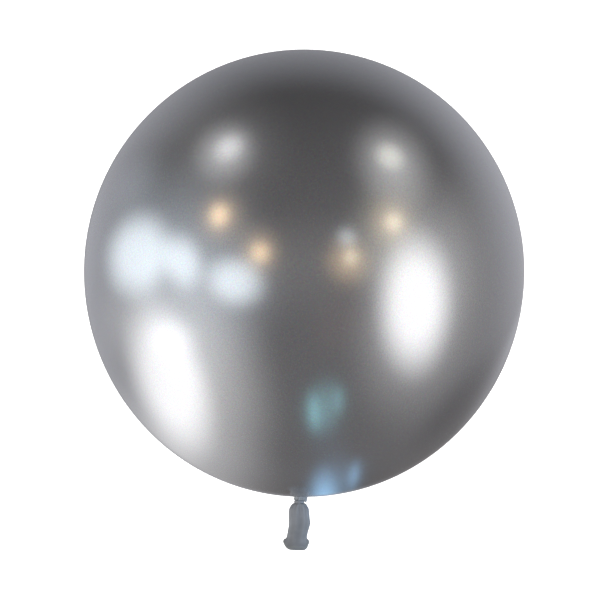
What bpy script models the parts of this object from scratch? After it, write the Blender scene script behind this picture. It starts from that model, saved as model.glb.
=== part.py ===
"""A big round latex party balloon, tied off at its neck, with its slack tail and rolled lip below.

The origin is the middle of the tie, +Z up through the crown and +X to the right of the front view.
Lengths are in metres.
"""

import math

import bmesh
import bpy

# The envelope is almost a ball: a little taller than wide, and drawn down towards the neck.
BULB_RADIUS = 0.3050
BULB_UP = 0.3074
BULB_DOWN = 0.3118
EQUATOR_Z = 0.3211
SKIN = 0.0010

# The neck is gathered under the tie and swells into a small collar above it.
WAIST_RADIUS = 0.0054
COLLAR_RADIUS = 0.0086
BLEND_RADIUS = 0.0260
BORE_RADIUS = 0.0025
THROAT_Z = 0.0025
NECK_END_Z = -0.0026
COLLAR_Z = 0.0045

# The tie is a round band in two turns, one above the other.
BAND_DIAMETER = 0.0016
TIE_TURNS = 2
TIE_RADIUS = 0.0073

# The tail swings about X on the gathered rubber just below the tie, so its top is round about that axis.
SWING_Z = -0.0100
ROLL_RADIUS = 0.0070
TAIL_WALL = 0.0012
CAVITY_RISE = 0.0040

# The lip is the rolled edge of the mouth, an oval ring that hangs lower in front and behind.
LIP_HALF_WIDTH = 0.0157
LIP_HALF_DEPTH = 0.0077
LIP_HALF_THICK = 0.0026
LIP_HALF_HEIGHT = 0.0039
LIP_DROOP = 0.0069
LIP_SHIFT = -0.0033

# Neighbours keep this much air between them.
GAP = 0.0003

# Columns: height, shift to the side, half width, half depth, droop in front and behind.
LIP_SIDE_Z = -0.0565
TAIL_SECTIONS = (
    (SWING_Z, 0.0000, 0.0134, ROLL_RADIUS, 0.0000),
    (-0.0170, 0.0003, 0.0138, 0.0068, 0.0000),
    (-0.0240, 0.0008, 0.0142, 0.0066, 0.0000),
    (-0.0300, 0.0011, 0.0147, 0.0066, 0.0002),
    (-0.0360, 0.0004, 0.0142, 0.0067, 0.0008),
    (-0.0420, -0.0009, 0.0139, 0.0070, 0.0022),
    (-0.0475, -0.0020, 0.0142, 0.0074, 0.0045),
    (LIP_SIDE_Z + LIP_HALF_HEIGHT + GAP, -0.0028, 0.0152, 0.0080, LIP_DROOP),
)

BULB_SEGMENTS = 48
BULB_RINGS = 12
TAIL_SEGMENTS = 32
ROUND_STEPS = 5
LIP_SIDES = 10
SMOOTH_ANGLE = math.radians(40)


def clear_scene():
    """Empty the scene, so that the script gives the same model wherever it runs."""
    for thing in list(bpy.data.objects):
        bpy.data.objects.remove(thing, do_unlink=True)


def make_material(name, colour, roughness, metallic):
    """A plain finish: one colour, one roughness and how metallic it looks."""
    material = bpy.data.materials.new(name)
    material.use_nodes = True
    shader = material.node_tree.nodes["Principled BSDF"]
    shader.inputs["Base Color"].default_value = (*colour, 1.0)
    shader.inputs["Roughness"].default_value = roughness
    shader.inputs["Metallic"].default_value = metallic
    return material


def make_object(name, bm, material, parent=None):
    """Turn a finished bmesh into a named, smooth shaded object, keeping its place under a parent."""
    bmesh.ops.recalc_face_normals(bm, faces=bm.faces)
    mesh = bpy.data.meshes.new(name)
    bm.to_mesh(mesh)
    bm.free()
    mesh.materials.append(material)
    mesh.shade_smooth()
    mesh.set_sharp_from_angle(angle=SMOOTH_ANGLE)
    thing = bpy.data.objects.new(name, mesh)
    bpy.context.collection.objects.link(thing)
    if parent:
        mesh.transform(parent.matrix_world.inverted())
        thing.parent = parent
    return thing


def spun(profile, segments):
    """A closed body turned about Z from an outline of (radius, height) points that starts and ends on one line."""
    bm = bmesh.new()
    points = [bm.verts.new((radius, 0.0, height)) for radius, height in profile]
    edges = [bm.edges.new(pair) for pair in zip(points, points[1:])]
    bmesh.ops.spin(
        bm,
        geom=points + edges,
        axis=(0, 0, 1),
        cent=(0, 0, 0),
        angle=math.tau,
        steps=segments,
        use_merge=True,
    )
    bmesh.ops.remove_doubles(bm, verts=bm.verts, dist=1e-6)
    return bm


def bezier(start, pull_start, pull_end, end, steps):
    """Points along a curve from start to end, with start itself left out."""
    points = []
    for step in range(1, steps + 1):
        t = step / steps
        weights = ((1 - t) ** 3, 3 * t * (1 - t) ** 2, 3 * t * t * (1 - t), t**3)
        corners = (start, pull_start, pull_end, end)
        points.append(tuple(sum(w * c[i] for w, c in zip(weights, corners)) for i in (0, 1)))
    return points


def bulb_outline(inset):
    """The bulb from its crown down to where the neck begins, a given depth inside the outer skin."""
    radius = BULB_RADIUS - inset
    points = []
    for ring in range(BULB_RINGS):
        turn = math.pi / 2 * ring / BULB_RINGS
        points.append((radius * math.sin(turn), EQUATOR_Z + (BULB_UP - inset) * math.cos(turn)))
    last = math.acos(BLEND_RADIUS / BULB_RADIUS)
    for ring in range(BULB_RINGS):
        turn = last * ring / (BULB_RINGS - 1)
        points.append((radius * math.cos(turn), EQUATOR_Z - (BULB_DOWN - inset) * math.sin(turn)))
    return points


def make_envelope(material):
    """The inflated skin with its gathered neck, hollow, and open only down the small bore in the neck."""
    outer = bulb_outline(0.0)
    collar = bezier(
        outer[-1],
        (0.0104, 0.0098),
        (COLLAR_RADIUS + 0.0003, 0.0079),
        (COLLAR_RADIUS, COLLAR_Z),
        ROUND_STEPS,
    )
    collar_foot = bezier(
        collar[-1],
        (COLLAR_RADIUS, 0.0028),
        (0.0072, BAND_DIAMETER * TIE_TURNS / 2 + GAP),
        (WAIST_RADIUS, BAND_DIAMETER * TIE_TURNS / 2 + GAP),
        ROUND_STEPS - 2,
    )
    inner = bulb_outline(SKIN)
    throat = bezier(
        (BORE_RADIUS, THROAT_Z),
        (BORE_RADIUS + 0.0010, 0.0110),
        (0.0120, inner[-1][1]),
        inner[-1],
        ROUND_STEPS,
    )
    neck = [(WAIST_RADIUS, NECK_END_Z), (BORE_RADIUS, NECK_END_Z), (BORE_RADIUS, THROAT_Z)]
    profile = outer + collar + collar_foot + neck + throat + inner[-2::-1]
    return make_object("envelope", spun(profile, BULB_SEGMENTS), material)


def make_tie(material):
    """The band that closes the neck: turns of round rubber cord, pressed flat against the neck."""
    half = BAND_DIAMETER / 2
    hold = WAIST_RADIUS + GAP
    low = -BAND_DIAMETER * TIE_TURNS / 2
    profile = [(hold, low)]
    for turn in range(TIE_TURNS):
        middle = low + half + turn * BAND_DIAMETER
        first = 0 if turn == 0 else 1
        for step in range(first, ROUND_STEPS + 1):
            angle = math.pi * (step / ROUND_STEPS - 0.5)
            radius = TIE_RADIUS - half + half * math.cos(angle)
            profile.append((radius, middle + half * math.sin(angle)))
    profile.append((hold, -low))
    profile.append(profile[0])
    return make_object("neck_tie", spun(profile, TAIL_SEGMENTS), material)


def ring_points(section, inset=0.0):
    """One oval ring of the tail, from a row of the table of sections."""
    height, shift, half_width, half_depth, droop = section
    points = []
    for step in range(TAIL_SEGMENTS):
        angle = math.tau * step / TAIL_SEGMENTS
        x = shift + (half_width - inset) * math.cos(angle)
        y = (half_depth - inset) * math.sin(angle)
        points.append((x, y, height - droop * math.sin(angle) ** 2))
    return points


def dome_rings(section, rise, inset, steps):
    """Rings that close a tube with a dome of the given rise, from the tube towards the pole."""
    height, shift, half_width, half_depth, _ = section
    rings = []
    for step in range(1, steps):
        turn = math.pi / 2 * step / steps
        shrink = math.cos(turn)
        row = (
            height + rise * math.sin(turn),
            shift,
            (half_width - inset) * shrink,
            (half_depth - inset) * shrink,
            0.0,
        )
        rings.append(ring_points(row))
    return rings


def add_loft(bm, rings):
    """Join a row of rings with bridges, and return the edges of the first and the last ring."""
    loops = []
    for points in rings:
        verts = [bm.verts.new(point) for point in points]
        loops.append([bm.edges.new(pair) for pair in zip(verts, verts[1:] + verts[:1])])
    for loop, following in zip(loops, loops[1:]):
        bmesh.ops.bridge_loops(bm, edges=loop + following)
    return loops[0], loops[-1]


def close_with_pole(bm, loop, pole):
    """Close a ring with triangles that meet in one point."""
    top = bm.verts.new(pole)
    for edge in loop:
        bm.faces.new((*edge.verts, top))


def make_sleeve(material, parent):
    """The slack tail: a soft flattened tube, round and solid where it swings, hollow down to its mouth."""
    bm = bmesh.new()
    root = TAIL_SECTIONS[0]
    cavity = TAIL_SECTIONS[1]
    outside = dome_rings(root, ROLL_RADIUS, 0.0, ROUND_STEPS)[::-1]
    outside += [ring_points(section) for section in TAIL_SECTIONS]
    inside = [ring_points(section, TAIL_WALL) for section in TAIL_SECTIONS[:0:-1]]
    inside += dome_rings(cavity, CAVITY_RISE, TAIL_WALL, ROUND_STEPS - 1)
    first, last = add_loft(bm, outside + inside)
    close_with_pole(bm, first, (root[1], 0.0, SWING_Z + ROLL_RADIUS))
    close_with_pole(bm, last, (cavity[1], 0.0, cavity[0] + CAVITY_RISE))
    return make_object("tail_sleeve", bm, material, parent)


def make_lip(material, parent):
    """The rolled lip: an oval ring of rolled rubber under the end of the tail."""
    bm = bmesh.new()
    rings = []
    for side in range(LIP_SIDES):
        turn = math.tau * side / LIP_SIDES
        row = (
            LIP_SIDE_Z + LIP_HALF_HEIGHT * math.sin(turn),
            LIP_SHIFT,
            LIP_HALF_WIDTH + LIP_HALF_THICK * math.cos(turn),
            LIP_HALF_DEPTH + LIP_HALF_THICK * math.cos(turn),
            LIP_DROOP,
        )
        rings.append(ring_points(row))
    add_loft(bm, rings + rings[:1])
    bmesh.ops.remove_doubles(bm, verts=bm.verts, dist=1e-6)
    return make_object("rolled_lip", bm, material, parent)


def main():
    clear_scene()
    chrome_latex = make_material("chrome_latex", (0.62, 0.63, 0.65), 0.26, 0.95)
    slack_latex = make_material("slack_latex", (0.30, 0.32, 0.34), 0.42, 0.60)
    lip_latex = make_material("lip_latex", (0.24, 0.26, 0.27), 0.45, 0.55)
    band_rubber = make_material("band_rubber", (0.42, 0.43, 0.44), 0.50, 0.10)

    tail_swing = bpy.data.objects.new("tail_swing", None)
    tail_swing.location = (0.0, 0.0, SWING_Z)
    bpy.context.collection.objects.link(tail_swing)
    bpy.context.view_layer.update()

    make_envelope(chrome_latex)
    make_tie(band_rubber)
    make_sleeve(slack_latex, tail_swing)
    make_lip(lip_latex, tail_swing)


main()
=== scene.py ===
# %% [markdown]
# A big round balloon in satin chrome latex
#
# This lesson dresses the plain solids of a party balloon. The solids, called the frame, are loaded first and
# never moved. Everything that the eye sees is then modelled over them: the blown skin, the gathered neck, the
# tie, the slack tail and its rolled lip. The light comes before the finishes, because a chrome skin shows
# little of itself and nearly everything of the room round it.

# %% Load the frame
import math

import bmesh
import bpy
from mathutils import Matrix, Vector


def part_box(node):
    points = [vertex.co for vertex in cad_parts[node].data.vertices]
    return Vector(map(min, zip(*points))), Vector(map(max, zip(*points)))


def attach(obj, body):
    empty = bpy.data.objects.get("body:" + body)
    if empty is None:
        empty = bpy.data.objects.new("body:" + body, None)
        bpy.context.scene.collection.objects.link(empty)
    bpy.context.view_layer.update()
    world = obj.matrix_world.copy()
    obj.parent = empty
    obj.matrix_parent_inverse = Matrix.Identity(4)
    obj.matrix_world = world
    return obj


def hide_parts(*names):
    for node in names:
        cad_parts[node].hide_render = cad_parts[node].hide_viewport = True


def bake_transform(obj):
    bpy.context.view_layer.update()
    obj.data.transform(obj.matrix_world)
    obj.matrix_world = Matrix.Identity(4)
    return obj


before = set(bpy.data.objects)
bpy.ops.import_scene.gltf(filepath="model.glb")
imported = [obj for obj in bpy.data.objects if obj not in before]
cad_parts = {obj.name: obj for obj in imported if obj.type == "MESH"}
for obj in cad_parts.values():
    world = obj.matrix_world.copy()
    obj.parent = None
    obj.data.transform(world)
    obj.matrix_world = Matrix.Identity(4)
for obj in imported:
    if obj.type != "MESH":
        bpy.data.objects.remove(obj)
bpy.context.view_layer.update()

# %% [markdown]
# The bulb's size and place are read from the frame, not typed again, so the looks always fit the solids.
# The origin is the middle of the tie, and the bulb's middle stands right above it.

# %% Measure the solids
BULB_LOW, BULB_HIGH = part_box("envelope")
BULB_RADIUS = (BULB_HIGH[0] - BULB_LOW[0]) / 2
LIP_LOW, LIP_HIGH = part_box("rolled_lip")
BULB_UP = 0.3074
BULB_DOWN = 0.3124
EQUATOR_Z = BULB_HIGH[2] - BULB_UP
BULB_CENTRE = Vector((0.0, 0.0, EQUATOR_Z))
print(f"bulb radius {BULB_RADIUS:.4f} m, equator at {EQUATOR_Z:.4f} m, lip's foot at {LIP_LOW[2]:.4f} m")

# %% [markdown]
# The camera looks level at the bulb's middle from 2.5 m, which is where a photographer stands back to with a
# long lens. Its aim and roll are worked out from where two points of the balloon lie in the picture: the middle
# of the bulb and the middle of the tie. A picture coordinate is in a frame of 600 by 600.

# %% Place the camera
PICTURE = 600
SENSOR = 0.036
CAMERA_DISTANCE = 2.5
BULB_IN_PICTURE = Vector((304.1, 271.8))
TIE_IN_PICTURE = Vector((299.3, 502.0))
BULB_RADIUS_IN_PICTURE = 220.3

# A ball's outline is a little wider than its radius seen at its middle, because the camera is near.
edge = math.sqrt(CAMERA_DISTANCE**2 - BULB_RADIUS**2)
FOCAL_IN_PICTURE = BULB_RADIUS_IN_PICTURE * edge / BULB_RADIUS

camera = bpy.data.cameras.new("camera")
camera.sensor_width = SENSOR * 1000
camera.lens = SENSOR * 1000 * FOCAL_IN_PICTURE / PICTURE
camera_object = bpy.data.objects.new("camera", camera)
bpy.context.scene.collection.objects.link(camera_object)
bpy.context.scene.camera = camera_object

off_centre = BULB_IN_PICTURE - Vector((PICTURE / 2, PICTURE / 2))
axis_in_picture = TIE_IN_PICTURE - BULB_IN_PICTURE
roll = math.atan2(-axis_in_picture.x, axis_in_picture.y)
turned = Matrix.Rotation(-roll, 2) @ off_centre
pan = math.atan2(turned.x, FOCAL_IN_PICTURE)
tilt = math.atan2(turned.y, FOCAL_IN_PICTURE)
level = Matrix.Rotation(math.pi / 2, 4, "X")
aim = Matrix.Rotation(pan, 4, "Z") @ level @ Matrix.Rotation(tilt, 4, "X") @ Matrix.Rotation(roll, 4, "Z")
camera_object.matrix_world = Matrix.Translation((0.0, -CAMERA_DISTANCE, EQUATOR_Z)) @ aim
bpy.context.view_layer.update()
print(f"lens {camera.lens:.1f} mm, pan {math.degrees(pan):.2f}, tilt {math.degrees(tilt):.2f}, roll {math.degrees(roll):.2f}")


# %% [markdown]
# Node trees are written as sums. A Wire stands for a socket, and each operator on it adds one Math node, so
# that `1 - mask * 0.3` reads as it would on paper. Every other node comes from `add`, which sets what the node
# is first and then its sockets.

# %% A short way to write shaders


class Wire:
    """A value on its way through a node tree. Sums written with it become Math nodes."""

    def __init__(self, nodes, socket):
        self.nodes = nodes
        self.socket = socket

    def maths(self, operation, first, second=0.0):
        made = self.nodes.add("Math", {"operation": operation}, {0: first, 1: second})
        return self.nodes.wire(made, 0)

    def __add__(self, other):
        return self.maths("ADD", self, other)

    def __radd__(self, other):
        return self.maths("ADD", other, self)

    def __sub__(self, other):
        return self.maths("SUBTRACT", self, other)

    def __rsub__(self, other):
        return self.maths("SUBTRACT", other, self)

    def __mul__(self, other):
        return self.maths("MULTIPLY", self, other)

    def __rmul__(self, other):
        return self.maths("MULTIPLY", other, self)

    def __truediv__(self, other):
        return self.maths("DIVIDE", self, other)

    def __pow__(self, other):
        return self.maths("POWER", self, other)


class Nodes:
    """A node tree that is emptied and then filled node by node."""

    def __init__(self, tree):
        self.tree = tree
        tree.nodes.clear()

    def add(self, kind, settings=None, sockets=None):
        """Add a node, set what it is, then give its sockets values or wires."""
        node = self.tree.nodes.new("ShaderNode" + kind)
        for key, value in (settings or {}).items():
            if key == "stops":
                self.fill_ramp(node.color_ramp, value)
            else:
                setattr(node, key, value)
        for key, value in (sockets or {}).items():
            if isinstance(value, Wire):
                self.tree.links.new(value.socket, node.inputs[key])
            else:
                node.inputs[key].default_value = value
        return node

    def fill_ramp(self, ramp, stops):
        """Give a colour ramp its stops, each a place and a colour."""
        while len(ramp.elements) < len(stops):
            ramp.elements.new(0.5)
        for element, (place, colour) in zip(ramp.elements, stops):
            element.position = place
            element.color = (*colour, 1.0)

    def vector(self, operation, first, second=None, third=None):
        """One vector sum, such as a length, which comes out as a plain value."""
        given = {index: value for index, value in enumerate((first, second, third)) if value is not None}
        made = self.add("VectorMath", {"operation": operation}, given)
        return self.wire(made, "Value" if operation in ("LENGTH", "DISTANCE") else "Vector")

    def wire(self, node, name=0):
        return Wire(self, node.outputs[name])

    def fade(self, value, start, end, low=0.0, high=1.0):
        """A value that goes smoothly from low to high as another one goes from start to end."""
        settings = {"interpolation_type": "SMOOTHSTEP"}
        sockets = {"Value": value, "From Min": start, "From Max": end, "To Min": low, "To Max": high}
        return self.wire(self.add("MapRange", settings, sockets))

    def blend_colours(self, factor, first, second):
        """One colour where the factor is 0, the other where it is 1."""
        settings = {"data_type": "RGBA", "clamp_factor": True}
        return self.wire(self.add("Mix", settings, {"Factor": factor, 6: first, 7: second}), 2)


# %% [markdown]
# The studio is a round pale bowl: a flat floor that curves up into a wall, with no corner to draw a line behind
# the balloon. It could be a plane and a backdrop, but a bowl looks the same from every side. The chrome skin
# doesn't see the bowl. It mirrors a dim room instead, as in the picture, where only the lamps and windows
# stand out.

# %% Build the pale bowl
FLOOR_Z = LIP_LOW[2] - 0.36
FLOOR_RADIUS = 6.0
WALL_CURVE = 3.0
WALL_TOP = 4.0


def build_bowl():
    bm = bmesh.new()
    middle = bm.verts.new((0.0, 0.0, FLOOR_Z))
    rim = bm.verts.new((FLOOR_RADIUS, 0.0, FLOOR_Z))
    bm.edges.new((middle, rim))
    curve_centre = (FLOOR_RADIUS, 0.0, FLOOR_Z + WALL_CURVE)
    quarter = bmesh.ops.spin(
        bm, geom=[rim], axis=(0, -1, 0), cent=curve_centre, angle=math.pi / 2, steps=16
    )
    top = [item for item in quarter["geom_last"] if isinstance(item, bmesh.types.BMVert)][0]
    risen = bmesh.ops.extrude_vert_indiv(bm, verts=[top])["verts"]
    bmesh.ops.translate(bm, verts=risen, vec=(0, 0, WALL_TOP))
    outline = list(bm.verts) + list(bm.edges)
    bmesh.ops.spin(
        bm, geom=outline, axis=(0, 0, 1), cent=(0, 0, 0), angle=math.tau, steps=96, use_merge=True
    )
    bmesh.ops.remove_doubles(bm, verts=bm.verts, dist=1e-5)
    bmesh.ops.recalc_face_normals(bm, faces=bm.faces)
    mesh = bpy.data.meshes.new("studio_bowl")
    bm.to_mesh(mesh)
    bm.free()
    mesh.shade_smooth()
    bowl = bpy.data.objects.new("studio_bowl", mesh)
    bpy.context.scene.collection.objects.link(bowl)
    bowl.visible_glossy = False
    bowl.visible_shadow = False
    return bowl


bowl = build_bowl()
print("studio bowl:", len(bowl.data.polygons), "faces, floor at", round(FLOOR_Z, 3))

# %% [markdown]
# The bowl's paper is a pale, slightly warm white with a faint mottle. A little light of its own stands in for
# the many bounces between its white walls.

# %% Finish the bowl
BOWL_GLOW = 0.70


def finish_bowl():
    material = bpy.data.materials.new("studio_paper")
    material.use_nodes = True
    nodes = Nodes(material.node_tree)
    place = nodes.wire(nodes.add("TexCoord"), "Object")
    mottle = nodes.wire(nodes.add("TexNoise", None, {"Vector": place, "Scale": 1.5, "Detail": 2.0}))
    colour = nodes.blend_colours(mottle, (0.86, 0.86, 0.855, 1.0), (0.90, 0.90, 0.90, 1.0))
    sockets = {
        "Base Color": colour,
        "Roughness": 0.9,
        "Emission Color": (1.0, 1.0, 1.0, 1.0),
        "Emission Strength": BOWL_GLOW,
    }
    shader = nodes.wire(nodes.add("BsdfPrincipled", None, sockets))
    nodes.add("OutputMaterial", None, {"Surface": shader})
    return material


bowl.data.materials.append(finish_bowl())

# %% [markdown]
# The room that the skin mirrors is drawn in the world's own shader. A chrome ball shows nearly the whole room,
# so each light is placed by where its mirror image lies on the bulb. For that, every direction of the room is
# first turned into the place on the bulb where the camera would see it, in picture units with up as plus. A
# bounce bends the view by twice the angle at which it meets the skin, and the camera is near enough to add a
# little more.

# %% Find where a direction shows on the bulb
NEARNESS = math.asin(BULB_RADIUS / CAMERA_DISTANCE) / 2


def place_on_bulb(nodes, direction):
    """The angle of the bounce, and its place on the bulb in picture units."""
    towards_camera = nodes.wire(nodes.add("SeparateXYZ", None, {0: direction}), "Y") * -1.0
    half_turn = towards_camera.maths("ARCCOSINE", towards_camera) * 0.5
    bounce = half_turn + half_turn.maths("SINE", half_turn) * NEARNESS
    reach = bounce.maths("SINE", bounce)
    flat = nodes.vector("MULTIPLY", direction, (1.0, 0.0, 1.0))
    away = nodes.vector("NORMALIZE", flat)
    upright = nodes.wire(nodes.add("VectorRotate", {"rotation_type": "X_AXIS"}, {0: away, "Angle": -math.pi / 2}))
    rolled = nodes.wire(nodes.add("VectorRotate", {"rotation_type": "Z_AXIS"}, {0: upright, "Angle": -roll}))
    unit = nodes.vector("MULTIPLY", rolled, reach)
    middle = (BULB_IN_PICTURE.x, -BULB_IN_PICTURE.y, 0.0)
    return bounce, unit, nodes.vector("MULTIPLY_ADD", unit, (BULB_RADIUS_IN_PICTURE,) * 3, middle)


# %% [markdown]
# Each light is a soft oval patch: bright in its core, fading to nothing at its edge, as cloth over a softbox
# or a frosted pane does. Two tall softboxes stand in front, with a faint wide patch round each for what they
# light up. The windows are on the left, small warm lamps and two ceiling lights higher up, and a cool window
# and two screens low down behind the camera. A dark thing that hides the wall is a light with a minus.

# %% List the lights of the room
WHITE = (1.0, 0.99, 0.98)
COOL = (0.92, 1.0, 1.04)
SKY = (0.90, 1.0, 1.10)
CREAM = (1.0, 0.98, 0.84)
HONEY = (1.15, 1.0, 0.72)
WARM = (1.42, 0.98, 0.54)
TEAL = (0.40, 1.0, 1.10)
BLUE = (0.33, 0.66, 1.02)
RUST = (1.30, 0.70, 0.60)

# Columns: name, middle, half width, half height, lean to the right, share that is core, tint, brightness.
LIGHTS = (
    ("softbox_left", (169, 373), 45, 101, -0.36, 0.3, WHITE, 0.95),
    ("softbox_left_top", (174, 334), 34, 26, 0.00, 0.2, WHITE, 0.30),
    ("softbox_left_glow", (196, 370), 90, 148, -0.34, 0.0, WHITE, 0.61),
    ("softbox_right", (415, 302), 46, 86, 0.03, 0.3, WHITE, 1.08),
    ("softbox_right_glow", (424, 298), 81, 150, 0.25, 0.0, WHITE, 0.45),
    ("window_left", (139, 255), 40, 54, 0.20, 0.3, COOL, 1.03),
    ("window_middle", (182, 261), 26, 37, -0.30, 0.2, COOL, 0.91),
    ("window_low", (235, 281), 40, 31, 0.30, 0.2, COOL, 1.00),
    ("window_haze", (186, 268), 107, 130, -0.40, 0.0, SKY, 0.395),
    ("window_sheen", (138, 188), 32, 47, 0.50, 0.0, SKY, 0.12),
    ("wall_left", (116, 314), 26, 60, 0.00, 0.0, WHITE, 0.14),
    ("ceiling_left", (229, 149), 17, 22, 1.00, 0.1, WHITE, 0.66),
    ("ceiling_left_halo", (225, 155), 38, 43, 0.80, 0.0, WHITE, 0.48),
    ("ceiling_left_glow", (216, 151), 92, 80, 0.00, 0.0, WHITE, 0.105),
    ("ceiling_right", (390, 158), 21, 17, 0.60, 0.2, CREAM, 0.70),
    ("ceiling_right_glow", (393, 166), 48, 60, -0.50, 0.0, WHITE, 0.46),
    ("lamp_high_left", (219, 216), 14, 17, 0.20, 0.1, WARM, 1.15),
    ("lamp_high_left_halo", (221, 218), 32, 36, 0.30, 0.0, WARM, 0.22),
    ("lamp_low_left", (260, 253), 14, 15, 0.00, 0.1, WARM, 0.95),
    ("lamp_low_left_halo", (258, 252), 30, 34, 0.00, 0.0, WARM, 0.24),
    ("lamp_low_right", (351, 257), 10, 12, 0.20, 0.1, HONEY, 0.95),
    ("lamp_low_right_halo", (348, 262), 32, 30, 0.50, 0.0, WARM, 0.38),
    ("lamp_high_right", (394, 223), 13, 14, 0.20, 0.1, HONEY, 0.92),
    ("lamp_high_right_halo", (391, 222), 30, 32, 0.20, 0.0, WARM, 0.28),
    ("lamps_glow", (388, 233), 52, 82, 0.20, 0.0, CREAM, 0.28),
    ("spot_cool", (347, 238), 14, 13, 0.30, 0.1, COOL, 0.74),
    ("middle_glow", (300, 264), 100, 64, 0.00, 0.0, WHITE, 0.058),
    ("screen_left", (314, 407), 8, 29, -0.08, 0.1, TEAL, 0.56),
    ("screen_right", (339, 395), 6, 20, 0.00, 0.1, TEAL, 0.40),
    ("screen_glow", (325, 402), 25, 38, 0.20, 0.1, TEAL, 0.25),
    ("window_far", (324, 493), 20, 44, 0.00, 0.0, BLUE, 0.99),
    ("window_slit", (355, 469), 7, 22, 0.16, 0.0, BLUE, 0.82),
    ("window_far_glow", (341, 478), 27, 42, 0.00, 0.0, BLUE, 0.19),
    ("screens_to_window", (326, 436), 30, 40, 0.00, 0.0, BLUE, 0.05),
    ("floor_left", (175, 445), 63, 138, -1.19, 0.0, WHITE, 0.18),
    ("floor_warm", (340, 322), 40, 46, 0.00, 0.0, RUST, 0.025),
    ("dark_corner", (452, 400), 24, 82, 0.66, 0.0, WHITE, -0.05),
)


def add_light(nodes, place, total, light):
    """Add one soft patch of light to the light that is already there."""
    _, (x, y), half_width, half_height, lean, core, tint, brightness = light
    sockets = {
        "Vector": place,
        "Location": (x, -y, 0.0),
        "Rotation": (0.0, 0.0, -lean),
        "Scale": (half_width, half_height, 1.0),
    }
    near = nodes.wire(nodes.add("Mapping", {"vector_type": "TEXTURE"}, sockets))
    from_middle = nodes.vector("LENGTH", near)
    colour = tuple(brightness * part for part in tint)
    return nodes.vector("MULTIPLY_ADD", nodes.fade(from_middle, core, 1.0, 1.0, 0.0), colour, total)


# %% [markdown]
# Between the lights the room is dim: darkest at the ceiling, with pale walls behind the balloon that show as
# the light rim round it. Straight behind the balloon everything is smoothed to one tone, since the camera
# never sees that part mirrored. The bowl is left out of the mirror image, and only the camera sees the world
# as plain white.

# %% Draw the dim room
FLOOR_TONE = 0.192
CEILING_TONE = 0.072
RIM_START = 0.755
RIM_LATER_AT_TOP_AND_BOTTOM = 0.050
WALL_TONE = 0.32
MORE_ON_THE_LEFT = 0.076
MORE_HIGH_UP = 0.165
LESS_TOP_AND_BOTTOM = 0.22
MORE_HIGH_RIGHT_AND_LOW_LEFT = 0.10
LATER_LOW_ON_THE_RIGHT = 0.11
MORE_ON_THE_RIGHT = 0.26
BEHIND_TONE = 0.26
HIDDEN_FROM = math.radians(80)
HIDDEN_BY = math.radians(88)
LESS_ON_THE_LEFT = 0.13
ROOM_TINT = (0.97, 0.935, 0.95)
WALL_TINT = (0.93, 0.95, 1.04)


def draw_room():
    world = bpy.data.worlds.new("room")
    bpy.context.scene.world = world
    world.use_nodes = True
    world.cycles.sampling_method = "NONE"
    nodes = Nodes(world.node_tree)
    direction = nodes.wire(nodes.add("TexCoord"), "Generated")
    bounce, unit, place = place_on_bulb(nodes, direction)
    split = nodes.add("SeparateXYZ", None, {0: unit})
    right, up = nodes.wire(split, "X"), nodes.wire(split, "Y")
    reach = nodes.vector("LENGTH", unit)
    seen_by_skin = nodes.fade(bounce, HIDDEN_FROM, HIDDEN_BY, 1.0, 0.0)
    across = 1.0 + right * LESS_ON_THE_LEFT
    room = nodes.fade(up, -0.20, 1.20, FLOOR_TONE, CEILING_TONE) * across
    wall = WALL_TONE - right * MORE_ON_THE_LEFT + up * MORE_HIGH_UP
    wall = wall - up * up * LESS_TOP_AND_BOTTOM + right * up * MORE_HIGH_RIGHT_AND_LOW_LEFT
    wall += nodes.fade(right * 0.883 - up * 0.469, 0.93, 1.0) * MORE_ON_THE_RIGHT
    shown_wall = wall * seen_by_skin + (1.0 - seen_by_skin) * BEHIND_TONE
    later = up * up * RIM_LATER_AT_TOP_AND_BOTTOM + nodes.fade(right - up, 1.12, 1.38) * LATER_LOW_ON_THE_RIGHT
    rim = nodes.fade(reach - later, RIM_START, 1.0) * shown_wall * across
    dim = nodes.vector("MULTIPLY", ROOM_TINT, room)
    total = (0.0, 0.0, 0.0)
    for light in LIGHTS:
        total = add_light(nodes, place, total, light)
    lit = nodes.vector("MULTIPLY_ADD", total, seen_by_skin, nodes.vector("MULTIPLY_ADD", WALL_TINT, rim, dim))
    room_light = nodes.wire(nodes.add("Background", None, {"Color": lit, "Strength": 1.0}))
    white = nodes.wire(nodes.add("Background", None, {"Color": (1.0, 1.0, 1.0, 1.0), "Strength": 1.0}))
    seen = nodes.wire(nodes.add("LightPath"), "Is Camera Ray")
    shown = nodes.wire(nodes.add("MixShader", None, {0: seen, 1: room_light, 2: white}))
    nodes.add("OutputWorld", None, {"Surface": shown})
    print(f"the room has {len(LIGHTS)} lights in {len(world.node_tree.nodes)} nodes")


draw_room()

# %% [markdown]
# Two real lamps light the matt rubber and the bowl: a big soft one over everything, and a small cool one low on
# the right, which puts the faint blue edge on the tail. Both are left out of the chrome's mirror image, so they
# can be as big and as near as they like.

# %% Hang the two lamps


def hang_lamp(name, place, aim, size, colour, brightness):
    """A round soft lamp that lights what is matt and is seen neither by the camera nor in the chrome."""
    lamp = bpy.data.lights.new(name, "AREA")
    lamp.shape = "DISK"
    lamp.size = size
    lamp.color = colour
    lamp.energy = brightness * math.pi * (math.pi * size**2 / 4)
    thing = bpy.data.objects.new(name, lamp)
    facing = Vector(aim) - Vector(place)
    thing.matrix_world = Matrix.Translation(place) @ facing.to_track_quat("-Z", "Y").to_matrix().to_4x4()
    thing.visible_camera = False
    thing.visible_glossy = False
    bpy.context.scene.collection.objects.link(thing)


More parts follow.
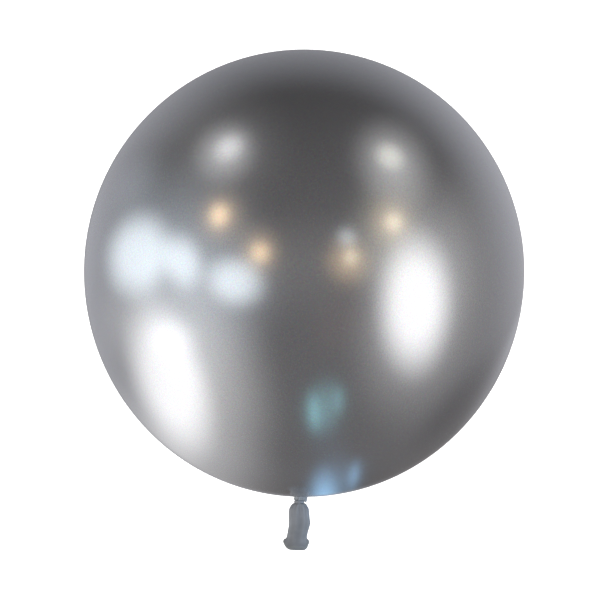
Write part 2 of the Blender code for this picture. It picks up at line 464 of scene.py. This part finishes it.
hang_lamp("top_light", (0.0, 0.0, 3.2), (0.0, 0.0, 0.0), 5.0, (1.0, 1.0, 1.0), 1.9)
hang_lamp("side_light", (1.1, -0.35, -0.10), (0.0, 0.0, -0.04), 0.35, (0.22, 0.58, 1.0), 34.0)
bpy.context.scene.view_settings.view_transform = "Standard"

# %% [markdown]
# The blown skin. A real balloon starts as a pear of latex on a dipping form, and gas makes it round: almost a
# ball, a little taller than wide, with the neck drawn out below. It could be a stretched sphere, but turning
# an outline keeps the neck in the same skin as the bulb, as on the real thing. The pleats that the tie gathers
# are pushed into the turned shape afterwards.

# %% Build the blown skin
SKIN = 0.0010
BLEND_RADIUS = 0.026
COLLAR_RADIUS = 0.0086
COLLAR_Z = 0.0045
COLLAR_LEAN = 0.0017
WAIST_RADIUS = 0.0054
WAIST_TOP = 0.0019
NECK_END_Z = -0.0018
BORE_RADIUS = 0.0025
THROAT_Z = 0.0025
SKIN_SEGMENTS = 192
SKIN_RINGS = 48


def link_piece(name, bm, material):
    """Turn a finished bmesh into a smooth shaded piece with its finish."""
    mesh = bpy.data.meshes.new(name)
    bm.to_mesh(mesh)
    bm.free()
    mesh.shade_smooth()
    mesh.materials.append(material)
    piece = bpy.data.objects.new(name, mesh)
    bpy.context.scene.collection.objects.link(piece)
    print(f"{name}: {len(mesh.vertices)} points, {len(mesh.polygons)} faces")
    return piece


def curve_points(start, pull_start, pull_end, end, steps):
    """Points along a curve from start to end, with start itself left out."""
    points = []
    for step in range(1, steps + 1):
        t = step / steps
        weights = ((1 - t) ** 3, 3 * t * (1 - t) ** 2, 3 * t * t * (1 - t), t**3)
        corners = (start, pull_start, pull_end, end)
        points.append(tuple(sum(w * c[i] for w, c in zip(weights, corners)) for i in (0, 1)))
    return points


def bulb_outline(inset, rings):
    """The bulb from its crown down to where the neck begins."""
    radius = BULB_RADIUS - inset
    points = []
    for ring in range(rings):
        turn = math.pi / 2 * ring / rings
        points.append((radius * math.sin(turn), EQUATOR_Z + (BULB_UP - inset) * math.cos(turn)))
    last = math.acos(BLEND_RADIUS / BULB_RADIUS)
    for ring in range(rings):
        turn = last * ring / (rings - 1)
        points.append((radius * math.cos(turn), EQUATOR_Z - (BULB_DOWN - inset) * math.sin(turn)))
    return points


def turned_outline(outline, segments):
    """A body turned about Z from an outline whose two ends lie on the axis."""
    bm = bmesh.new()
    points = [bm.verts.new((radius, 0.0, height)) for radius, height in outline]
    edges = [bm.edges.new(pair) for pair in zip(points, points[1:])]
    bmesh.ops.spin(
        bm,
        geom=points + edges,
        axis=(0, 0, 1),
        cent=(0, 0, 0),
        angle=math.tau,
        steps=segments,
        use_merge=True,
    )
    bmesh.ops.remove_doubles(bm, verts=bm.verts, dist=1e-7)
    bmesh.ops.recalc_face_normals(bm, faces=bm.faces)
    return bm


# %% [markdown]
# The tie gathers the neck into pleats. They are deepest in the small collar above the tie and run out over the
# bottom of the bulb within a few centimetres. The collar bulges more to the right than to the left, and hangs a
# little over the tie there, because the rubber was pulled through the tie to one side.

# %% Gather the neck
PLEATS = 17
PLEAT_DEPTH = 0.00060
PLEAT_REACH = 0.005
LOBE_HANG = 0.0042


def pleat_wave(angle):
    """How far a gathered fold stands out, from -1 to 1, round the neck. Three waves keep it uneven."""
    main = 0.55 * math.sin(PLEATS * angle) + 0.30 * math.sin((PLEATS - 6) * angle + 1.3)
    return main + 0.15 * math.sin((PLEATS + 10) * angle + 0.4)


def pulse(value, start, end):
    """A smooth hump that is 1 halfway between start and end and 0 outside them."""
    t = min(max((value - start) / (end - start), 0.0), 1.0)
    return math.sin(math.pi * t) ** 2


def gather_neck(bm):
    pleats = bm.verts.layers.float.new("fold")
    for vert in bm.verts:
        radius = math.hypot(vert.co.x, vert.co.y)
        if vert.co.z > 0.030 or radius < WAIST_RADIUS - 0.0001:
            continue
        angle = math.atan2(vert.co.y, vert.co.x)
        fall = math.exp(-max(0.0, radius - COLLAR_RADIUS) / PLEAT_REACH)
        depth = PLEAT_DEPTH * fall * min(1.0, (radius - WAIST_RADIUS) / 0.0015)
        push = depth * pleat_wave(angle)
        lean = COLLAR_LEAN * pulse(vert.co.z, WAIST_TOP - 0.0010, 0.0110) if radius < 0.020 else 0.0
        if WAIST_RADIUS < radius < 0.010:
            rightness = max(0.0, math.cos(angle)) ** 4
            outside_tie = min(1.0, max(0.0, (radius - 0.0072) / 0.0010))
            vert.co.z -= LOBE_HANG * rightness * outside_tie * pulse(vert.co.z, -0.0030, 0.0095)
        vert[pleats] = push * 1000
        vert.co.x += push * math.cos(angle) + lean
        vert.co.y += push * math.sin(angle)
        if radius > COLLAR_RADIUS + 0.001:
            vert.co.z += 0.6 * push


def build_skin(material):
    outer = bulb_outline(0.0, SKIN_RINGS)
    collar = curve_points(
        outer[-1], (0.0104, 0.0098), (COLLAR_RADIUS + 0.0003, 0.0079), (COLLAR_RADIUS, COLLAR_Z), 24
    )
    foot = curve_points(
        collar[-1], (COLLAR_RADIUS, 0.0028), (0.0072, WAIST_TOP), (WAIST_RADIUS, WAIST_TOP), 20
    )
    inner = bulb_outline(SKIN, SKIN_RINGS // 2)
    throat = curve_points(
        (BORE_RADIUS, THROAT_Z), (BORE_RADIUS + 0.0010, 0.0110), (0.0120, inner[-1][1]), inner[-1], 8
    )
    neck = [(WAIST_RADIUS, NECK_END_Z), (BORE_RADIUS, NECK_END_Z), (BORE_RADIUS, THROAT_Z)]
    bm = turned_outline(outer + collar + foot + neck + throat + inner[-2::-1], SKIN_SEGMENTS)
    gather_neck(bm)
    return link_piece("balloon_skin", bm, material)


# %% [markdown]
# Chrome latex is a mirror that has been breathed on: metal flakes in a rubber film. The reflection is blurred
# evenly, with a fine grain of flakes that each catch a slightly different tint. Where the film is stretched least, in the gathered neck and in a spot on
# the crown, it is thicker, darker and duller, and the flakes crowd until it is plain grey rubber.

# %% Finish the blown skin
FLAKES = 0.40


def finish_skin():
    material = bpy.data.materials.new("chrome_latex")
    material.use_nodes = True
    nodes = Nodes(material.node_tree)
    place = nodes.wire(nodes.add("TexCoord"), "Object")
    height = nodes.wire(nodes.add("SeparateXYZ", None, {0: place}), "Z")
    fold = nodes.wire(nodes.add("Attribute", {"attribute_name": "fold"}), "Fac")
    mottle = nodes.wire(nodes.add("TexNoise", None, {"Vector": place, "Scale": 7.0, "Detail": 3.0}))
    flakes = nodes.add("TexNoise", None, {"Vector": place, "Scale": 520.0, "Detail": 1.0})
    grain = nodes.wire(flakes)
    thicker = nodes.fade(height, 0.022, 0.009)
    neck = nodes.fade(height, 0.0098, 0.0068)
    crown = nodes.fade(height, EQUATOR_Z + BULB_UP - 0.0022, EQUATOR_Z + BULB_UP)
    dull = thicker * 0.15 + crown * 0.5
    chrome = nodes.blend_colours(0.52 + mottle * 0.04 - dull * 0.3, (0.50, 0.51, 0.53, 1.0), (0.74, 0.745, 0.76, 1.0))
    glitter = nodes.vector("MULTIPLY_ADD", nodes.wire(flakes, "Color"), (FLAKES,) * 3, (1.0 - FLAKES / 2,) * 3)
    chrome = nodes.vector("MULTIPLY", chrome, glitter)
    # Painted shade and painted highlight: the neck's rubber is darker in the valleys of its pleats and lighter on
    # their ridges, following the fold height.
    rubber = nodes.blend_colours(0.5 + fold * 0.4 + (grain - 0.5) * 0.5, (0.15, 0.16, 0.17, 1.0), (0.26, 0.27, 0.29, 1.0))
    bump = nodes.add("Bump", None, {"Height": grain, "Strength": 0.03 + neck * 0.3, "Distance": 0.0004})
    sockets = {
        "Base Color": nodes.blend_colours(neck, chrome, rubber),
        "Metallic": 1.0 - neck * 0.65,
        "Roughness": 0.150 + mottle * 0.03 + grain * 0.02 + dull * 0.10 + neck * 0.27,
        "Normal": nodes.wire(bump),
    }
    shader = nodes.wire(nodes.add("BsdfPrincipled", None, sockets))
    nodes.add("OutputMaterial", None, {"Surface": shader})
    return material


skin = build_skin(finish_skin())
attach(skin, "balloon")
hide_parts("envelope")

# %% [markdown]
# The tie. A thin round rubber band is wound round the gathered neck until it holds. It could be three plain
# rings, but a real band climbs as it is wound, so a circle is spun about the neck while it rises by its own
# thickness on each turn. Its ends are tucked against the neck.

# %% Wind the tie
BAND_RADIUS = 0.00050
BAND_PATH_RADIUS = 0.00678
BAND_TURNS = 3.0
BAND_PITCH = 0.00099
BAND_STEPS_PER_TURN = 72


def build_tie(material):
    bm = bmesh.new()
    steps = round(BAND_TURNS * BAND_STEPS_PER_TURN)
    rise = BAND_PITCH * BAND_TURNS
    made = bmesh.ops.create_circle(bm, cap_ends=True, radius=BAND_RADIUS, segments=14)
    stand = Matrix.Rotation(math.pi / 2, 4, "X")
    place = Matrix.Translation((BAND_PATH_RADIUS, 0.0, -rise / 2))
    bmesh.ops.transform(bm, matrix=place @ stand, verts=made["verts"])
    bmesh.ops.spin(
        bm,
        geom=bm.faces[:] + bm.edges[:] + bm.verts[:],
        axis=(0, 0, 1),
        cent=(0, 0, 0),
        dvec=(0, 0, rise / steps),
        angle=math.tau * BAND_TURNS,
        steps=steps,
    )
    bmesh.ops.rotate(bm, verts=bm.verts, cent=(0, 0, 0), matrix=Matrix.Rotation(1.4, 3, "Z"))
    ends = [face for face in bm.faces if len(face.verts) > 4]
    rims = list({edge for face in ends for edge in face.edges})
    bmesh.ops.bevel(
        bm, geom=rims, offset=BAND_RADIUS * 0.5, affect="EDGES", segments=3, profile=0.5, material=-1
    )
    bmesh.ops.recalc_face_normals(bm, faces=bm.faces)
    return link_piece("tie_band", bm, material)


# %% [markdown]
# The band is pale rubber, matt and slightly dusty.

# %% Finish the tie


def finish_band():
    material = bpy.data.materials.new("band_rubber")
    material.use_nodes = True
    nodes = Nodes(material.node_tree)
    place = nodes.wire(nodes.add("TexCoord"), "Object")
    dust = nodes.wire(nodes.add("TexNoise", None, {"Vector": place, "Scale": 900.0, "Detail": 3.0}))
    colour = nodes.blend_colours(dust, (0.15, 0.155, 0.165, 1.0), (0.25, 0.255, 0.27, 1.0))
    bump = nodes.add("Bump", None, {"Height": dust, "Strength": 0.25, "Distance": 0.0002})
    sockets = {"Base Color": colour, "Roughness": dust * 0.2 + 0.45, "Normal": nodes.wire(bump)}
    shader = nodes.wire(nodes.add("BsdfPrincipled", None, sockets))
    nodes.add("OutputMaterial", None, {"Surface": shader})
    return material


tie = build_tie(finish_band())
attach(tie, "balloon")
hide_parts("neck_tie")

# %% [markdown]
# The slack tail. Below the tie the neck was never blown, so it is thick, soft and nearly flat, and it leans a
# little to one side. It could be bent from a tube, but its outline is what shows, so a round tube is turned
# first, with its wall and its closed top, and each point is then moved out to the tail's width and depth at
# that height. The tie's pleats fan out at the top and fade down the tail.

# %% Shape the slack tail
LIP_SIDE_Z = -0.0565
LIP_HALF_HEIGHT = 0.0039
LIP_DROOP = 0.0069
TAIL_END_Z = LIP_SIDE_Z + 0.0010
TAIL_TOP_Z = -0.0019
TAIL_TURNED_RADIUS = 0.0138
TAIL_INNER_SHARE = 0.94
TAIL_SEGMENTS = 144

# Columns: height, shift to the side, half width, half depth, droop in front and behind.
TAIL_SECTIONS = (
    (TAIL_TOP_Z, 0.0000, 0.0068, 0.0062, 0.0000),
    (-0.0030, 0.0000, 0.0091, 0.0065, 0.0000),
    (-0.0045, -0.0002, 0.0103, 0.0067, 0.0000),
    (-0.0070, -0.0004, 0.0118, 0.0068, 0.0000),
    (-0.0100, -0.0003, 0.0134, 0.0070, 0.0000),
    (-0.0135, -0.0003, 0.0139, 0.0069, 0.0000),
    (-0.0170, -0.0001, 0.0142, 0.0068, 0.0000),
    (-0.0240, 0.0004, 0.0146, 0.0067, 0.0000),
    (-0.0300, 0.0008, 0.0150, 0.0067, 0.0002),
    (-0.0360, 0.0000, 0.0146, 0.0068, 0.0008),
    (-0.0420, -0.0013, 0.0142, 0.0071, 0.0022),
    (-0.0475, -0.0022, 0.0141, 0.0077, 0.0045),
    (-0.0508, -0.0027, 0.0145, 0.0086, 0.0061),
    (-0.0528, -0.0032, 0.0160, 0.0096, LIP_DROOP),
    (TAIL_END_Z, -0.0033, 0.0172, 0.0103, LIP_DROOP),
)


def droop_share(angle):
    """How much of the droop shows round the oval: none at its sides, more towards the fuller right side."""
    return 1.0 - abs(math.cos(angle)) ** (4 if math.cos(angle) < 0 else 10)


def smooth_between(before, first, second, after, t):
    """A smooth value between two table rows, helped by the rows on either side."""
    bend = (2 * first, second - before, 2 * before - 5 * first + 4 * second - after, 3 * first - before - 3 * second + after)
    return 0.5 * sum(part * t**power for power, part in enumerate(bend))


def tail_section(height):
    """Shift, half width, half depth and droop of the tail at a height, read smoothly from the table."""
    rows = TAIL_SECTIONS
    height = min(max(height, rows[-1][0]), rows[0][0])
    index = next(i for i in range(len(rows) - 1) if height >= rows[i + 1][0])
    near = [rows[min(max(index + step, 0), len(rows) - 1)] for step in (-1, 0, 1, 2)]
    t = (height - near[1][0]) / (near[2][0] - near[1][0])
    return [smooth_between(*(row[column] for row in near), t) for column in (1, 2, 3, 4)]


def tail_fold(angle, height):
    """How far the tail's skin stands out of its smooth shape: pleats under the tie, slow folds further down."""
    below = TAIL_TOP_Z - height
    fade_out = math.exp(-((below / 0.016) ** 2))
    pleats = 0.00055 * fade_out * min(1.0, below / 0.0015) * pleat_wave(angle + 3 * below)
    drift = 6.0 * below
    slow = 0.00026 * math.sin(5 * angle + 1.0 + drift) + 0.00018 * math.sin(9 * angle - 2 * drift)
    front = -0.0007 * math.exp(-(((angle + 1.35 - 4 * below) / 0.34) ** 2))
    back = -0.0009 * math.exp(-(((angle - 1.75 + 3 * below) / 0.42) ** 2))
    settled = min(1.0, below / 0.012)
    at_lip = min(1.0, max(0.0, (height - TAIL_END_Z) / 0.010))
    return pleats + (slow + front + back) * settled * (0.25 + 0.75 * at_lip)


def build_tail(material):
    wall = TAIL_TURNED_RADIUS
    inner = wall * TAIL_INNER_SHARE
    rows = 72
    span = TAIL_TOP_Z - TAIL_END_Z
    heights = [TAIL_TOP_Z - span * (row / rows) ** 1.25 for row in range(rows + 1)]
    cavity_top, cavity_rise = -0.0170, 0.0040
    outline = [(0.0, TAIL_TOP_Z), (wall * 0.6, TAIL_TOP_Z)]
    outline += [(wall, height) for height in heights]
    outline += [(inner, height) for height in reversed(heights) if height < cavity_top]
    for step in range(1, 8):
        turn = math.pi / 2 * step / 8
        outline.append((inner * math.cos(turn), cavity_top + cavity_rise * math.sin(turn)))
    outline.append((0.0, cavity_top + cavity_rise))
    bm = turned_outline(outline, TAIL_SEGMENTS)
    folds = bm.verts.layers.float.new("fold")
    for vert in bm.verts:
        share = math.hypot(vert.co.x, vert.co.y) / wall
        angle = math.atan2(vert.co.y, vert.co.x)
        height = vert.co.z
        shift, half_width, half_depth, droop = tail_section(height)
        push = tail_fold(angle, height) * min(share, 1.0)
        vert[folds] = push * 1000
        vert.co.x = shift + (half_width * share + push) * math.cos(angle)
        vert.co.y = (half_depth * share + push) * math.sin(angle)
        vert.co.z = height - droop * droop_share(angle)
    return link_piece("tail_skin", bm, material)


# %% [markdown]
# The same chrome latex, but slack: its flakes lie crowded and untidy, so it looks a darker, duller grey. Fine
# creases run down it from the tie. Painted shade darkens the bottoms of its folds and a painted highlight brightens
# their ridges, and painted shade darkens it towards its foot.

# %% Finish the slack tail


def finish_slack(name, dark, light, crease_strength, foot_shade_from_to):
    """Slack chrome latex: satin grey, creased down its length, with painted shade in its folds, a painted highlight
    on their ridges, and painted shade towards its foot.
    """
    material = bpy.data.materials.new(name)
    material.use_nodes = True
    nodes = Nodes(material.node_tree)
    place = nodes.wire(nodes.add("TexCoord"), "Object")
    fold = nodes.wire(nodes.add("Attribute", {"attribute_name": "fold"}), "Fac")
    stretch = nodes.wire(nodes.add("Mapping", None, {"Vector": place, "Scale": (1.0, 1.0, 0.12)}))
    creases = nodes.wire(nodes.add("TexNoise", None, {"Vector": stretch, "Scale": 420.0, "Detail": 4.0}))
    mottle = nodes.wire(nodes.add("TexNoise", None, {"Vector": place, "Scale": 110.0, "Detail": 3.0}))
    grain = nodes.wire(nodes.add("TexNoise", None, {"Vector": place, "Scale": 2600.0, "Detail": 2.0}))
    height_above = nodes.wire(nodes.add("SeparateXYZ", None, {0: place}), "Z")
    # Painted shade: the colour gets darker towards the foot, between the two given heights.
    low = nodes.fade(height_above, *foot_shade_from_to)
    # Painted shade and painted highlight: the fold height makes the bottoms of the folds darker and their ridges
    # lighter.
    shade = 0.5 + fold * 0.30 + (mottle - 0.5) * 0.5 + (grain - 0.5) * 0.25 - low * 0.26
    colour = nodes.blend_colours(shade, dark, light)
    height = creases * 0.8 + grain * 0.2
    bump = nodes.add("Bump", None, {"Height": height, "Strength": crease_strength, "Distance": 0.0004})
    sockets = {
        "Base Color": colour,
        "Metallic": 0.35,
        "Roughness": 0.48 + mottle * 0.10 + grain * 0.06,
        "Normal": nodes.wire(bump),
    }
    shader = nodes.wire(nodes.add("BsdfPrincipled", None, sockets))
    nodes.add("OutputMaterial", None, {"Surface": shader})
    return material


TAIL_DARK = (0.13, 0.135, 0.145, 1.0)
TAIL_LIGHT = (0.25, 0.258, 0.275, 1.0)
tail = build_tail(finish_slack("slack_latex", TAIL_DARK, TAIL_LIGHT, 0.5, (-0.015, -0.045)))
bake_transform(tail)
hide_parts("tail_sleeve")

# %% [markdown]
# The rolled lip. The mouth's edge is rolled up on itself when the balloon is made, which leaves a firm bead. A
# bead's section is turned into a ring, and the ring is pressed to the oval of the mouth, hanging lower in front
# and behind. Fine lines run round it where the roll's layers end.

# %% Roll the lip
LIP_SHIFT = -0.0033
LIP_HALF_WIDTH = 0.0157
LIP_HALF_DEPTH = 0.0077
LIP_HALF_THICK = 0.0026
LIP_SECTION_SIDES = 40
LIP_SEGMENTS = 144


def lip_section_point(turn):
    """A point of the bead's section: an upright oval with two shallow lines where the roll's layers end."""
    line = 0.035 * math.exp(-(((turn - 0.75) / 0.16) ** 2)) + 0.03 * math.exp(-(((turn + 0.55) / 0.14) ** 2))
    swell = 1.0 - line
    return LIP_HALF_THICK * math.cos(turn) * swell, LIP_HALF_HEIGHT * math.sin(turn) * swell


def build_lip(material):
    bm = bmesh.new()
    section = []
    for side in range(LIP_SECTION_SIDES):
        turn = math.tau * side / LIP_SECTION_SIDES - math.pi
        out, up = lip_section_point(turn)
        section.append(bm.verts.new((LIP_HALF_WIDTH + out, 0.0, up)))
    loop = [bm.edges.new(pair) for pair in zip(section, section[1:] + section[:1])]
    bmesh.ops.spin(
        bm,
        geom=section + loop,
        axis=(0, 0, 1),
        cent=(0, 0, 0),
        angle=math.tau,
        steps=LIP_SEGMENTS,
        use_merge=True,
    )
    folds = bm.verts.layers.float.new("fold")
    for vert in bm.verts:
        angle = math.atan2(vert.co.y, vert.co.x)
        out = math.hypot(vert.co.x, vert.co.y) - LIP_HALF_WIDTH
        swell = 1.0 + 0.05 * math.sin(3 * angle + 0.6) + 0.03 * math.sin(7 * angle)
        wave = 0.00025 * math.sin(4 * angle + 2.0)
        vert[folds] = 0.0
        vert.co.x = LIP_SHIFT + (LIP_HALF_WIDTH + out * swell) * math.cos(angle)
        vert.co.y = (LIP_HALF_DEPTH + out * swell) * math.sin(angle)
        vert.co.z = LIP_SIDE_Z + vert.co.z * swell + wave - LIP_DROOP * droop_share(angle)
    bmesh.ops.recalc_face_normals(bm, faces=bm.faces)
    return link_piece("lip_bead", bm, material)


LIP_DARK = (0.085, 0.09, 0.092, 1.0)
LIP_LIGHT = (0.235, 0.242, 0.246, 1.0)
lip = build_lip(finish_slack("lip_latex", LIP_DARK, LIP_LIGHT, 0.3, (-0.060, -0.067)))
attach(lip, "tail")
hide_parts("rolled_lip")
